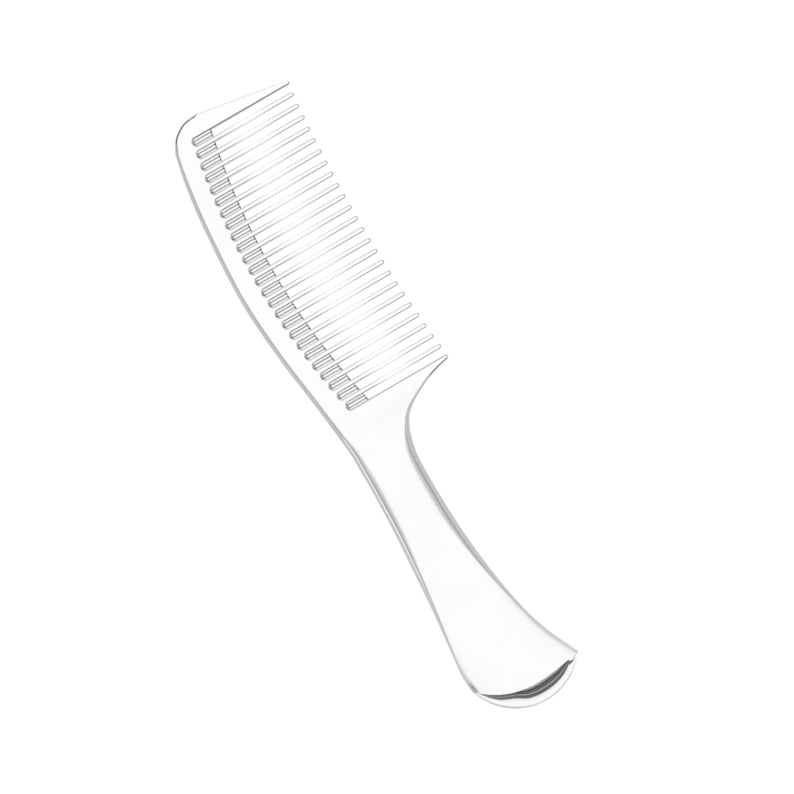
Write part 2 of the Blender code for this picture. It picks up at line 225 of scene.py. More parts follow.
class PlanMesh:
    """Points of a plan, each with a half thickness, and the lines that its surface keeps."""

    def __init__(self):
        self.points, self.halves, self.lines, self.index = [], [], [], {}

    def add(self, x, y, half):
        key = (round(x, 4), round(y, 4))
        if key not in self.index:
            self.index[key] = len(self.points)
            self.points.append(Vector((x, y)))
            self.halves.append(half)
        return self.index[key]

    def line(self, points, closed=False):
        ids = [self.add(*point) for point in points]
        self.lines += [(a, b) for a, b in zip(ids, ids[1:]) if a != b]
        if closed and ids[-1] != ids[0]:
            self.lines.append((ids[-1], ids[0]))

    def fill(self, outline, region, spacing):
        """Adds a triangular grid of surface points inside the outline where `region` gives a half thickness,
        clear of the points already there."""
        tree = KDTree(len(self.points))
        for place, point in enumerate(self.points):
            tree.insert((point.x, point.y, 0.0), place)
        tree.balance()
        low = Vector(map(min, zip(*[(x, y) for x, y, _ in outline])))
        high = Vector(map(max, zip(*[(x, y) for x, y, _ in outline])))
        pitch = spacing * 0.866  # between the grid's rows
        rows = int((high.y - low.y) / pitch)
        for row in range(rows + 1):
            y = low.y + row * pitch
            crossings = outline_crossings(outline, y)
            for start, end in zip(crossings[0::2], crossings[1::2]):
                x = start + spacing * (0.5 + 0.5 * (row % 2))
                while x < end - spacing * 0.4:
                    half = region(x, y)
                    if half is not None and tree.find((x, y, 0.0))[2] > spacing * 0.6:
                        self.add(x, y, half)
                    x += spacing

    def solid(self):
        """Points and faces of the solid: the triangulated plan above and below, joined by walls."""
        plan, _, triangles, sources, _, _ = delaunay_2d_cdt(self.points, self.lines, [], 1, 1e-5)
        halves = [self.halves[source[0]] for source in sources]
        count = len(plan)
        points = [(p.x, p.y, side * h) for side in (1, -1) for p, h in zip(plan, halves)]
        faces = [tuple(t) for t in triangles] + [tuple(count + v for v in reversed(t)) for t in triangles]
        sides = {}
        for triangle in triangles:
            for a, b in zip(triangle, (*triangle[1:], triangle[0])):
                sides[(a, b)] = (b, a)
        faces += [(b, a, a + count, b + count) for (a, b), back in sides.items() if back not in sides]
        return points, faces


def outline_crossings(outline, y):
    """Where a horizontal line crosses the closed outline, from left to right."""
    found = []
    for (x0, y0, _), (x1, y1, _) in zip(outline, outline[1:] + outline[:1]):
        if (y0 <= y) != (y1 <= y):
            found.append(x0 + (x1 - x0) * (y - y0) / (y1 - y0))
    return sorted(found)


# ---------------------------------------------------------------- teeth

# Width and depth of the eased edges beside the gaps, and their power: 1 is a plain chamfer and 2 a quarter of
# an ellipse. The guards' inner edges are wider and deeper.
RIM, RIM_DEPTH, RIM_POWER = 0.34, 0.18, 1.25
GUARD_RIM, GUARD_DEPTH = 0.54, 0.35
# Share of a tooth's length from its root, and shares of RIM there: on its side towards the head's end, then
# on its side towards the neck
TOOTH_RIMS = (
    (0.0, 1.0, 1.0), (0.06, 1.5, 1.7), (0.3, 1.4, 1.5), (0.48, 0.35, 0.4),
    (0.6, 0.35, 0.4), (0.8, 1.1, 1.3), (1.0, 1.2, 1.4),
)
TOOTH_TIP_LENGTH, TOOTH_TIP_THINNING = 0.8, 0.45
TOOTH_NARROWING = 0.04  # from root to tip, on each side
# Shares of a rounding's width at which the surface has a line of points; the last lies past the rounding
EDGE_SHARES = (0.0, 0.03, 0.08, 0.15, 0.25, 0.37, 0.5, 0.65, 0.82, 1.0, 1.12)


def tooth_box(index):
    """Root x, tip x, lower y and upper y of a tooth, counted from 0 at the head's end."""
    low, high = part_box(f"tooth_{index + 1:02d}")
    return low.x / MM, high.x / MM, low.y / MM, high.y / MM


TEETH = [tooth_box(index) for index in range(TOOTH_COUNT)]


class Gap:
    """The space between two neighbouring teeth, or between a guard tooth and the tooth next to it."""

    def __init__(self, number):
        self.upper = GUARD_EDGES_Y[0] if number == 0 else TEETH[number - 1][2]
        self.lower = GUARD_EDGES_Y[1] if number == TOOTH_COUNT else TEETH[number][3]
        self.middle = (self.upper + self.lower) / 2
        self.radius = (self.upper - self.lower) / 2
        self.centre = bowed(ROOT_X, ROOT_RADIUS, self.middle) + self.radius

    def outside(self, x, y):
        """How far a point is outside the gap's outline."""
        if x > self.centre:
            return abs(y - self.middle) - self.radius
        return math.hypot(x - self.centre, y - self.middle) - self.radius

    def arc(self, out, top=90.0, bottom=-90.0, steps=24):
        """The rounded end, `out` outside it, between two directions in degrees above -X."""
        reach = self.radius + out
        angles = [math.radians(top + (bottom - top) * step / steps) for step in range(steps + 1)]
        return [(self.centre - reach * math.cos(a), self.middle + reach * math.sin(a)) for a in angles]

    def flank_angle(self, out):
        """Direction in which the line `out` outside the rounded end meets the flank of the next tooth."""
        return math.degrees(math.asin(self.radius / (self.radius + out)))


GAPS = [Gap(number) for number in range(TOOTH_COUNT + 1)]


def tooth(index, finish):
    """One ground tooth: full height at its root, tapered, with rounded edges and a rounded tip."""
    start, tip, low, high = TEETH[index]
    above, below = GAPS[index], GAPS[index + 1]
    middle, slot_half = (low + high) / 2, (high - low) / 2
    along = [start + SEAM]
    along += [above.centre - 1.4 + 0.2 * step for step in range(9)]  # close together past the gap's end
    last, body_end = along[-1], tip - TOOTH_TIP_LENGTH
    along += [last + (body_end - last) * step / 16 for step in range(1, 17)]
    tip_angles = (12, 24, 36, 48, 58, 67, 75, 82)
    along += [body_end + TOOTH_TIP_LENGTH * math.sin(math.radians(angle)) for angle in tip_angles]
    shares = EDGE_SHARES[::2]
    rings = []
    for x in along:
        past = max(0.0, (x - body_end) / TOOTH_TIP_LENGTH)
        end = math.sqrt(1 - past ** 2)
        along_share = (x - start) / (tip - start)
        narrowed = SEAM / 2 + TOOTH_NARROWING * along_share
        width = slot_half - narrowed
        rim_above, rim_below = keyed(TOOTH_RIMS, along_share)
        across = [width - RIM * rim_above * share for share in shares] + [0.0]
        across += [RIM * rim_below * share - width for share in reversed(shares)]
        upper = []
        for offset in across:
            half = body_half(x, middle + offset)
            for gap, rim in ((above, rim_above), (below, rim_below)):
                inside = (gap.outside(x, middle + offset) - narrowed) / (RIM * rim)
                half -= RIM_DEPTH * rim * (1 - roll(inside, RIM_POWER))
            upper.append((x, middle + offset * end, half * (1 - TOOTH_TIP_THINNING * past ** 2)))
        rings.append(upper + [(x, y, -z) for x, y, z in reversed(upper)])
    points = [point for ring in rings for point in ring]
    faces = tube_faces(len(rings), len(rings[0]))
    name = f"tooth_{index + 1:02d}"
    return piece(f"{name}_ground", points, faces, finish, [name])


# ---------------------------------------------------------------- head

# Rolls of the head's edges, from the neck on: width, depth as a share of the half thickness, and power, by y
# along the back and the flare, and by x round the corner and along the upper guard
BACK_ROLL = (
    (NECK_Y, 3.4, 1.0, 2.0), (-3.0, 2.0, 0.94, 1.7), (6.0, 1.6, 0.88, 1.4),
    (84.0, 1.5, 0.88, 1.4), (97.6, 1.1, 0.5, 1.4),
)
CORNER_ROLL = (
    (-18.1, 1.1, 0.5, 1.4), (-15.5, 0.9, 0.28, 1.3), (-13.0, 0.85, 0.26, 1.3),
    (-7.5, 0.8, 0.26, 1.3), (-5.6, 0.25, 0.07, 1.5), (22.0, 0.3, 0.1, 1.4),
)
FLARE_ROLL = (
    (NECK_Y, 2.0, 1.0, 2.0), (-6.6, 1.05, 0.32, 1.2), (-4.2, 0.75, 0.27, 1.15),
    (-1.3, 0.65, 0.36, 1.1), (1.0, 0.56, 0.38, 1.15),
)
LEVEL_REACH = 5.0  # height over the neck within which edge lines turn level, to meet the handle's rows


def resample(points, spacing):
    """The same polyline with points evenly about `spacing` apart."""
    lengths = [0.0]
    for a, b in zip(points, points[1:]):
        lengths.append(lengths[-1] + math.dist(a, b))
    count = max(1, round(lengths[-1] / spacing))
    made, place = [], 0
    for step in range(count):
        wanted = lengths[-1] * step / count
        while lengths[place + 1] <= wanted:
            place += 1
        share = (wanted - lengths[place]) / (lengths[place + 1] - lengths[place])
        a, b = points[place], points[place + 1]
        made.append((a[0] + (b[0] - a[0]) * share, a[1] + (b[1] - a[1]) * share))
    return made + [points[-1]]


def inward(points, level):
    """Unit directions to the right of a polyline's travel, turning to `level` at the neck."""
    found = []
    for place, (_, y) in enumerate(points):
        before, after = points[max(place - 1, 0)], points[min(place + 1, len(points) - 1)]
        way = Vector((after[1] - before[1], before[0] - after[0])).normalized()
        turned = 1 - ease((y - NECK_Y - SEAM) / LEVEL_REACH)
        found.append(way.lerp(Vector((level, 0.0)), turned).normalized())
    return found


def edge_rings(points, rolls, level):
    """For each edge share, the line of surface points that far in from the edge."""
    ways = inward(points, level)
    rings = []
    for share in EDGE_SHARES:
        ring = []
        for (x, y), way, (width, depth, power) in zip(points, ways, rolls):
            inner_x, inner_y = x + way.x * width * share, y + way.y * width * share
            full = body_half(inner_x, inner_y)
            ring.append((inner_x, inner_y, full - depth * (full - EDGE) * (1 - roll(share, power))))
        rings.append(ring)
    return rings


def rim_line(points, share, depth=RIM_DEPTH):
    """Surface points on a line beside a gap, at a share of the rim's width."""
    return [(x, y, body_half(x, y) - depth * (1 - roll(share, RIM_POWER))) for x, y in points]


def guard_arc(gap, line, share, side):
    """Surface points round the end of a guard's gap: its rim grows wider on the side beside the guard."""
    made = []
    for x, y in line:
        away = Vector((x - gap.centre, y - gap.middle)).normalized()
        wider = ease(side * away.y)
        out = share * (GUARD_RIM - RIM) * wider
        depth = RIM_DEPTH + (GUARD_DEPTH - RIM_DEPTH) * wider
        made += rim_line([(x + away.x * out, y + away.y * out)], share, depth)
    return made


def guard_tip(tip_x, edge_y, side):
    """Half circle round the tip of a guard tooth, from its outer edge to its inner one. side is 1 at the
    head's end and -1 at the neck."""
    centre_x, centre_y = tip_x - GUARD_TIP_RADIUS, edge_y + side * GUARD_TIP_RADIUS
    angles = [math.radians(80 - 170 * step / 14) for step in range(15)]
    return [(centre_x + GUARD_TIP_RADIUS * math.cos(a), centre_y + side * GUARD_TIP_RADIUS * math.sin(a))
            for a in angles]


def tip_rolls(points, first_roll):
    """Rolls round a guard's tip, turning into the rim's rounding."""
    width, depth, power = first_roll
    found = []
    for place, (x, y) in enumerate(points):
        turned = ease(place / (len(points) - 1))
        rim_depth = GUARD_DEPTH / (body_half(x, y) - EDGE)
        ends = ((width, GUARD_RIM), (depth, rim_depth), (power, RIM_POWER))
        found.append(tuple(a + (b - a) * turned for a, b in ends))
    return found


def front_x(y):
    """Front edge of the web under the recesses."""
    return bowed(WEB_X, WEB_RADIUS, y)


def guard_inner(gap, edge_y, tip_end_x):
    """Straight inner edge of a guard tooth, from its tip to where the gap's rounded end begins."""
    free = resample([(tip_end_x, edge_y), (front_x(edge_y), edge_y)], 1.0)
    return free[1:] + resample([free[-1], (gap.centre, edge_y)], 1.0)[1:-1]


def recess(plan, gap):
    """Wall, slope, step and floor of the recess behind a gap. Returns its upper side, running back from the
    web's front edge, that front edge, and its lower side."""
    front_shares = (0.0, 0.06, 0.2, 0.4, 0.7, 1.0, 1.2)
    sides, front = None, ([], [])
    for inset, half, dip in RECESS_PROFILE:
        lines = []
        for y in (gap.upper - inset, gap.lower + inset):
            line = [(front_x(y) - FRONT_WIDTH * s, y, half - FRONT_DEPTH * (1 - roll(s, RIM_POWER)))
                    for s in front_shares]
            run = gap.centre - line[-1][0]
            line += [(line[-1][0] + run * step / 5, y, half) for step in range(1, 5)]
            lines.append(line)
        upper, lower = lines
        reach = gap.radius - inset
        end = [(x, y, half - dip * ((gap.centre - x) / reach) ** 2) for x, y in gap.arc(-inset)]
        plan.line(upper + end + lower[::-1])
        sides = sides or (upper + end[:1], lower + end[-1:])
        front[0].append(upper[0])
        front[1].append(lower[0])
    return sides[0], front[0][1:] + front[1][:0:-1], sides[1]


def comb_back(finish):
    """The forged back: spine, guard teeth, web with its recesses, and neck."""
    plan = PlanMesh()
    first, last = GAPS[0], GAPS[-1]

    back = smooth_line(BACK_LINE, 12, before=BELOW_NECK_LEFT)
    back[0] = (back[0][0], NECK_Y + SEAM)
    corner = smooth_line(HEAD_CORNER, 8)
    upper_tip = guard_tip(TIP_X, first.upper, 1)
    back, round_corner = resample(back, 0.7), resample(corner, 0.5)[1:]
    end_edge = resample([corner[-1], upper_tip[0]], 1.0)[1:-1]
    outer = back + round_corner + end_edge
    rolls = [keyed(BACK_ROLL, y) for _, y in back[:-1]]
    rolls += [keyed(CORNER_ROLL, x) for x, _ in back[-1:] + round_corner + end_edge]
    rolls += tip_rolls(upper_tip, rolls[-1])
    upper_rings = edge_rings(outer + upper_tip, rolls, 1.0)
    upper_inner = guard_inner(first, first.upper, upper_tip[-1][0])

    flare = smooth_line(FLARE, 12, before=BELOW_NECK_RIGHT)
    flare[0] = (flare[0][0], NECK_Y + SEAM)
    lower_tip = guard_tip(LOWER_GUARD_TIP_X, last.lower, -1)
    flare = resample(flare, 0.6)[-2::-1]  # from the guard's tip, without the point that the tip holds
    flare_rolls = [keyed(FLARE_ROLL, y) for _, y in flare]
    lower_rolls = tip_rolls(lower_tip, flare_rolls[0])[::-1] + flare_rolls
    lower_rings = edge_rings(lower_tip[::-1] + flare, lower_rolls, -1.0)
    lower_inner = guard_inner(last, last.lower, lower_tip[-1][0])[::-1]

    slot_rims = {}
    for number, gap in enumerate(GAPS):
        upper_rim, lower_rim = [], []
        for place, share in enumerate(EDGE_SHARES):
            out = RIM * share
            angle = gap.flank_angle(out)
            line = gap.arc(out, 90.0 if gap is first else angle, -90.0 if gap is last else -angle)
            rim = rim_line(line, share)
            before, after = [], []
            guard_out = GUARD_RIM * share
            if gap is first:
                inner = [(x, y + guard_out) for x, y in upper_inner]
                before = upper_rings[place] + rim_line(inner, share, GUARD_DEPTH)
                rim = guard_arc(gap, line, share, 1)
            if gap is last:
                inner = [(x, y - guard_out) for x, y in lower_inner]
                after = rim_line(inner, share, GUARD_DEPTH) + lower_rings[place]
                rim = guard_arc(gap, line, share, -1)
            plan.line(before + rim + after)
            upper_rim.append(rim[0])
            lower_rim.append(rim[-1])
        slot_rims[number] = (upper_rim, lower_rim)

    # The outline, clockwise from the neck's left corner
    free_upper = [p for p in rim_line(upper_inner, 0.0, GUARD_DEPTH) if p[0] > front_x(first.upper) - 1e-6]
    outline = upper_rings[0] + free_upper
    for number, gap in enumerate(GAPS):
        upper_side, front, lower_side = recess(plan, gap)
        if gap is not first:
            upper_rim = slot_rims[number][0]
            slot_end = TEETH[number - 1][0] - SEAM
            outline.append((slot_end, gap.upper, body_half(slot_end, gap.upper)))
            outline += upper_rim[::-1] + upper_side[::-1][:-1]
        outline.append(upper_side[0])
        outline += front
        outline.append(lower_side[0])
        if gap is not last:
            lower_rim = slot_rims[number][1]
            slot_end = TEETH[number][0] - SEAM
            outline += lower_side[1:] + lower_rim
            outline.append((slot_end, gap.lower, body_half(slot_end, gap.lower)))
    free_lower = [p for p in rim_line(lower_inner, 0.0, GUARD_DEPTH) if p[0] > front_x(last.lower) - 1e-6]
    outline += free_lower + lower_rings[0]
    left_end, right_end = [ring[0] for ring in upper_rings], [ring[-1] for ring in lower_rings]
    inner_left, inner_right = left_end[-1][0], right_end[-1][0]
    middle = [inner_right + (inner_left - inner_right) * step / 8 for step in range(1, 8)]
    seam_y = NECK_Y + SEAM
    outline += right_end[1:] + [(x, seam_y, body_half(x, seam_y)) for x in middle] + left_end[:0:-1]
    plan.line(outline, closed=True)

    def curved_part(x, y):
        """Half thickness where the face curves, away from the flat spine and from the gaps and recesses."""
        flat = x < TAPER_START_X and y > SWELL_TOP_Y + SWELL_RISE + 1.0
        in_gaps = x > -18.0 and last.lower - 0.1 < y < first.upper + 0.1
        return None if flat or in_gaps else body_half(x, y)

    plan.fill(outline, curved_part, 1.2)
    points, faces = plan.solid()
    return piece("comb_back_forging", points, faces, finish, ["comb_back"])


def tang(finish):
    """The bar inside the handle that carries the head."""
    half_x, half_z, bevel = TANG_WIDTH / 2, TANG_HALF, 0.3
    rings = []
    ends = ((NECK_Y - SEAM, 1.0), (TANG_END_Y + 1.5, 1.0), (TANG_END_Y, 0.8))
    for y, share in ends:
        across, up = half_x * share, half_z * share
        corner = ((across, up - bevel), (across - bevel, up), (bevel - across, up), (-across, up - bevel))
        rings.append([(TANG_X + x, y, z) for x, z in corner] + [(TANG_X - x, y, -z) for x, z in corner])
    points = [point for ring in rings for point in ring]
    faces = tube_faces(len(rings), len(rings[0]))
    return piece("tang_bar", points, faces, finish, [])


# ---------------------------------------------------------------- handle

ROWS_PER_STATION = 10


def handle_rows():
    """The handle's rows from the neck to the butt; the first station only guides the curve."""
    rows = smooth_line(HANDLE_STATIONS, ROWS_PER_STATION)
    return rows[ROWS_PER_STATION:]


def row_point(row, share):
    """Point of the handle's upper surface at a share of the way across a row, from its left edge."""
    left_x, left_y, right_x, right_y, bulge, half, crown_left, crown_right, roll_left, roll_right = row
    width = math.hypot(right_x - left_x, right_y - left_y)
    u = 2 * share - 1
    x = left_x + (right_x - left_x) * share
    y = left_y + (right_y - left_y) * share - bulge * (1 - u * u) * (1 - BULGE_SKEW * u)
    full = half * (1 - (crown_left if u < 0 else crown_right) * u * u) - EDGE
    return x, y, EDGE + full * roll(width * share / roll_left) * roll(width * (1 - share) / roll_right)


def row_shares(row):
    """Shares across a row, closer together where its edges roll over."""
    width = math.hypot(row[2] - row[0], row[3] - row[1])
    turns = [1 - math.cos(math.radians(10 * step)) for step in range(10)]
    left, right = row[8] / width, row[9] / width
    middle = [left + (1 - right - left) * step / 16 for step in range(1, 16)]
    return [left * t for t in turns] + middle + [1 - right * t for t in reversed(turns)]


def handle_shell(name, node, side, finish):
    """One pressed half of the handle, with its inner face. side is 1 for the front half, -1 for the rear."""
    rows = handle_rows()
    points, count = [], 0
    for place, row in enumerate(rows):
        shares = row_shares(row)
        count = len(shares)
        width = math.hypot(row[2] - row[0], row[3] - row[1])
        shift = -SEAM if place == 0 else 0.0
        shift = SEAM if place == len(rows) - 1 else shift
        outer = [row_point(row, share) for share in shares]
        inner_width = width - 2 * SHELL_SIDE
        inner = [row_point(row, (SHELL_SIDE + inner_width * share) / width) for share in shares]
        points += [(x, y + shift, side * max(z, SEAM)) for x, y, z in outer]
        points += [(x, y + shift, side * max(z - SHELL_WALL, SEAM)) for x, y, z in inner]
        points[-count] = points[-count][:2] + (side * SEAM,)
        points[-1] = points[-1][:2] + (side * SEAM,)
    faces = []
    for row in range(len(rows)):
        start = 2 * count * row
        for column in range(count - 1):
            if row in (0, len(rows) - 1):
                a, b = start + column, start + count + column
                faces.append((a, a + 1, b + 1, b))
            if row < len(rows) - 1:
                for a in (start + column, start + count + column):
                    faces.append((a, a + 1, a + 1 + 2 * count, a + 2 * count))
        if row < len(rows) - 1:
            for a in (start, start + count - 1):
                faces.append((a, a + count, a + 3 * count, a + 2 * count))
    return piece(name, points, faces, finish, [node])


def butt_cap(finish):
    """Domed end that rolls over from one face of the handle to the other, with a crease where it begins."""
    row = handle_rows()[-1]
    columns, turns = 64, 18
    rings = []
    for column in range(columns + 1):
        share = 0.5 - 0.498 * math.cos(math.pi * column / columns)
        x, y, z = row_point(row, share)
        y -= SEAM
        ahead = share + BUTT_LEAN * ease(share / 0.1) * (1 - ease((share - 0.12) / 0.4))
        angle = math.radians(BUTT_LEFT_ANGLE + (BUTT_RIGHT_ANGLE - BUTT_LEFT_ANGLE) * ahead)
        rim_x = BUTT_CENTRE[0] + BUTT_RADIUS * math.cos(angle)
        rim_y = BUTT_CENTRE[1] + BUTT_RADIUS * math.sin(angle)
        flattened = ease((share - BUTT_FLAT_SHARE) / BUTT_FLAT_SPREAD)
        fullness = keyed(BUTT_FULLNESS, share)[0]
        upper = []
        for turn in range(turns + 1):
            out = 1 - (1 - turn / turns) ** 1.9
            dome = (1 - out ** DOME_POWER) ** fullness
            flat = (1 - out ** FLAT_END_POWER) ** 0.5
            height = EDGE + (z - EDGE) * (dome + (flat - dome) * flattened)
            upper.append((x + (rim_x - x) * out, y + (rim_y - y) * out, height))
        rings.append(upper + [(px, py, -pz) for px, py, pz in reversed(upper)])
    points = [point for ring in rings for point in ring]
    faces = tube_faces(len(rings), len(rings[0]))
    return piece("butt_cap_dome", points, faces, finish, ["butt_cap"])


# ---------------------------------------------------------------- finishes

def node(tree, kind, **settings):
    """A new shader node with the given settings."""
    made = tree.nodes.new(kind)
    for name, value in settings.items():
        setattr(made, name, value)
    return made


def steel(name, colour, stretch, seed):
    """Polished steel: fine polishing lines along the axis with the least stretch, and faint smudges where the
    polish is duller and the tone shifts a little."""
    finish = bpy.data.materials.new(name)
    finish.use_nodes = True
    tree = finish.node_tree
    shader = tree.nodes["Principled BSDF"]
    shader.inputs["Metallic"].default_value = 1.0
    place = node(tree, "ShaderNodeTexCoord")

    lines_space = node(tree, "ShaderNodeMapping")
    lines_space.inputs["Scale"].default_value = stretch
    lines_space.inputs["Location"].default_value = (seed, seed * 2, 0.0)
    tree.links.new(place.outputs["Object"], lines_space.inputs["Vector"])
    lines = node(tree, "ShaderNodeTexNoise")
    lines.inputs["Scale"].default_value = 1.0
    lines.inputs["Detail"].default_value = 4.0
    tree.links.new(lines_space.outputs["Vector"], lines.inputs["Vector"])

    smudges = node(tree, "ShaderNodeTexNoise")
    smudges.inputs["Scale"].default_value = 55.0
    smudges.inputs["Detail"].default_value = 3.0
    smudges.inputs["Distortion"].default_value = 0.6
    tree.links.new(place.outputs["Object"], smudges.inputs["Vector"])

    roughness = node(tree, "ShaderNodeMapRange")
    roughness.inputs["From Min"].default_value = 0.35
    roughness.inputs["From Max"].default_value = 0.75
    roughness.inputs["To Min"].default_value = 0.05
    roughness.inputs["To Max"].default_value = 0.13
    summed = node(tree, "ShaderNodeMath", operation="MULTIPLY_ADD")
    summed.inputs[1].default_value = 0.35
    tree.links.new(lines.outputs["Fac"], summed.inputs[0])
    tree.links.new(smudges.outputs["Fac"], summed.inputs[2])
    softened = node(tree, "ShaderNodeMath", operation="SUBTRACT")
    softened.inputs[1].default_value = 0.17
    tree.links.new(summed.outputs[0], softened.inputs[0])
    tree.links.new(softened.outputs[0], roughness.inputs["Value"])
    tree.links.new(roughness.outputs["Result"], shader.inputs["Roughness"])

    tone = node(tree, "ShaderNodeMix", data_type="RGBA")
    tone.inputs["A"].default_value = (*[c * 0.97 for c in colour], 1.0)
    tone.inputs["B"].default_value = (*[min(1.0, c * 1.03) for c in colour], 1.0)
    tree.links.new(smudges.outputs["Fac"], tone.inputs["Factor"])
    tree.links.new(tone.outputs["Result"], shader.inputs["Base Color"])

    bump = node(tree, "ShaderNodeBump")
    bump.inputs["Strength"].default_value = 0.12
    bump.inputs["Distance"].default_value = 0.00002
    tree.links.new(lines.outputs["Fac"], bump.inputs["Height"])
    tree.links.new(bump.outputs["Normal"], shader.inputs["Normal"])
    return finish


def filler(name):
    """Grainy set filler inside the handle."""
    finish = bpy.data.materials.new(name)
    finish.use_nodes = True
    tree = finish.node_tree
    shader = tree.nodes["Principled BSDF"]
    shader.inputs["Roughness"].default_value = 0.9
    place = node(tree, "ShaderNodeTexCoord")
    grain = node(tree, "ShaderNodeTexNoise")
    grain.inputs["Scale"].default_value = 900.0
    grain.inputs["Detail"].default_value = 5.0
    tree.links.new(place.outputs["Object"], grain.inputs["Vector"])
    tone = node(tree, "ShaderNodeMix", data_type="RGBA")
    tone.inputs["A"].default_value = (0.36, 0.33, 0.29, 1.0)
    tone.inputs["B"].default_value = (0.52, 0.49, 0.44, 1.0)
    tree.links.new(grain.outputs["Fac"], tone.inputs["Factor"])
    tree.links.new(tone.outputs["Result"], shader.inputs["Base Color"])
    bump = node(tree, "ShaderNodeBump")
    bump.inputs["Strength"].default_value = 0.5
    bump.inputs["Distance"].default_value = 0.0002
    tree.links.new(grain.outputs["Fac"], bump.inputs["Height"])
    tree.links.new(bump.outputs["Normal"], shader.inputs["Normal"])
    return finish


# ---------------------------------------------------------------- studio

def camera():
    """Looks down on the comb from over its handle side, turned so that the head is at the upper left."""
    distance, frame_width = 1.2, 0.24415
    turn, tilt = math.radians(30.3), math.radians(2.0)
    target = Vector((0.00315, -0.00143, MIDDLE_Z))
    data = bpy.data.cameras.new("camera")
    data.sensor_width = 36.0
    data.lens = data.sensor_width * distance / frame_width
    made = bpy.data.objects.new("camera", data)
    made.matrix_world = (
        Matrix.Translation(target) @ Matrix.Rotation(tilt, 4, "X") @ Matrix.Rotation(-turn, 4, "Z")
        @ Matrix.Translation((0.0, 0.0, distance))
    )
    data.clip_start, data.clip_end = 0.01, 50.0
    bpy.context.scene.collection.objects.link(made)
    bpy.context.scene.camera = made


def math_node(tree, operation, *values, clamp=False):
    """A Math node fed with numbers or sockets; returns its output."""
    made = node(tree, "ShaderNodeMath", operation=operation, use_clamp=clamp)
    for socket, value in zip(made.inputs, values):
        if isinstance(value, (int, float)):
            socket.default_value = value
        else:
            tree.links.new(value, socket)
    return made.outputs[0]


def band(tree, value, low, high, soft_low, soft_high):
    """1 between low and high, fading to 0 over soft_low below and soft_high above."""
    ramps = []
    for start, end in ((low - soft_low, low), (high + soft_high, high)):
        ramp = node(tree, "ShaderNodeMapRange", interpolation_type="SMOOTHSTEP")
        ramp.inputs["From Min"].default_value = min(start, end)
        ramp.inputs["From Max"].default_value = max(start, end)
        ramp.inputs["To Min"].default_value = 0.0 if start < end else 1.0
        ramp.inputs["To Max"].default_value = 1.0 if start < end else 0.0
        tree.links.new(value, ramp.inputs["Value"])
        ramps.append(ramp.outputs["Result"])
    return math_node(tree, "MULTIPLY", *ramps)


ZENITH = 2.09  # brightness straight above
# Brightness by the sine of the elevation, as shares of the zenith's: the walls and the softbox, then the
# black card low down in front of the butt, over a bright strip and with two light lines across it
SKY = (
    (0.0, 0.34), (0.16, 0.36), (0.28, 0.52), (0.5, 0.60), (0.62, 0.70),
    (0.70, 0.88), (0.8, 0.96), (0.9, 0.99), (0.97, 1.0),
)
CARD = (
    (0.0, 0.9), (0.12, 0.9), (0.16, 0.20), (0.20, 0.13), (0.27, 0.12),
    (0.31, 0.20), (0.345, 0.50), (0.375, 0.10), (0.405, 0.06), (0.44, 0.22),
    (0.475, 0.06), (0.53, 0.06), (0.58, 0.24), (0.64, 0.50), (0.70, 0.88),
)


def height_ramp(tree, height, stops):
    """Grey shades by height, through the given stops."""
    ramp = node(tree, "ShaderNodeValToRGB")
    while len(ramp.color_ramp.elements) < len(stops):
        ramp.color_ramp.elements.new(0.5)
    for element, (at, share) in zip(ramp.color_ramp.elements, stops):
        element.position = at
        element.color = (share, share, share, 1.0)
    tree.links.new(height, ramp.inputs["Fac"])
    return ramp.outputs["Color"]


def mixed(tree, factor, first, second):
    """A blend of two colours."""
    mix = node(tree, "ShaderNodeMix", data_type="RGBA")
    tree.links.new(factor, mix.inputs["Factor"])
    tree.links.new(first, mix.inputs["A"])
    tree.links.new(second, mix.inputs["B"])
    return mix.outputs["Result"]


def sky():
    """A white softbox overhead that falls off to grey walls, with black cards low down at both ends."""
    world = bpy.data.worlds.new("studio")
    bpy.context.scene.world = world
    world.use_nodes = True
    tree = world.node_tree
    background = tree.nodes["Background"]
    place = node(tree, "ShaderNodeTexCoord")
    split = node(tree, "ShaderNodeSeparateXYZ")
    tree.links.new(place.outputs["Generated"], split.inputs["Vector"])
    height = split.outputs["Z"]
    height_squared = math_node(tree, "MULTIPLY", height, height)
    level = math_node(tree, "SQRT", math_node(tree, "SUBTRACT", 1.0, height_squared))
    forward = math_node(tree, "DIVIDE", split.outputs["Y"], level)
    sideways = math_node(tree, "DIVIDE", split.outputs["X"], level)

    # A card takes in a range of directions, from -1 at the left to 1 at the right, and of heights
    near_card = math_node(tree, "MULTIPLY", band(tree, sideways, -0.96, 0.54, 0.03, 0.05),
                          math_node(tree, "LESS_THAN", forward, 0.0))
    near_card = math_node(tree, "MULTIPLY", near_card, band(tree, height, 0.0, 0.64, 0.01, 0.10))
    far_card = math_node(tree, "MULTIPLY", band(tree, sideways, -0.78, -0.06, 0.14, 0.05),
                         math_node(tree, "GREATER_THAN", forward, 0.0))
    far_card = math_node(tree, "MULTIPLY", far_card, band(tree, height, 0.0, 0.34, 0.01, 0.14))
    dark = height_ramp(tree, height, ((0.0, 0.08), (0.5, 0.10)))
    lit = mixed(tree, near_card, height_ramp(tree, height, SKY), height_ramp(tree, height, CARD))
    lit = mixed(tree, far_card, lit, dark)
    tree.links.new(lit, background.inputs["Color"])
    background.inputs["Strength"].default_value = ZENITH


def softbox():
    """Soft overhead light, kept out of the reflections, which show the sky instead."""
    data = bpy.data.lights.new("softbox", "AREA")
    data.shape = "SQUARE"
    data.size = 0.7
    data.energy = 6.0
    made = bpy.data.objects.new("softbox", data)
    made.location = (0.0, 0.0, 1.4)
    made.visible_glossy = False
    made.visible_camera = False
    bpy.context.scene.collection.objects.link(made)


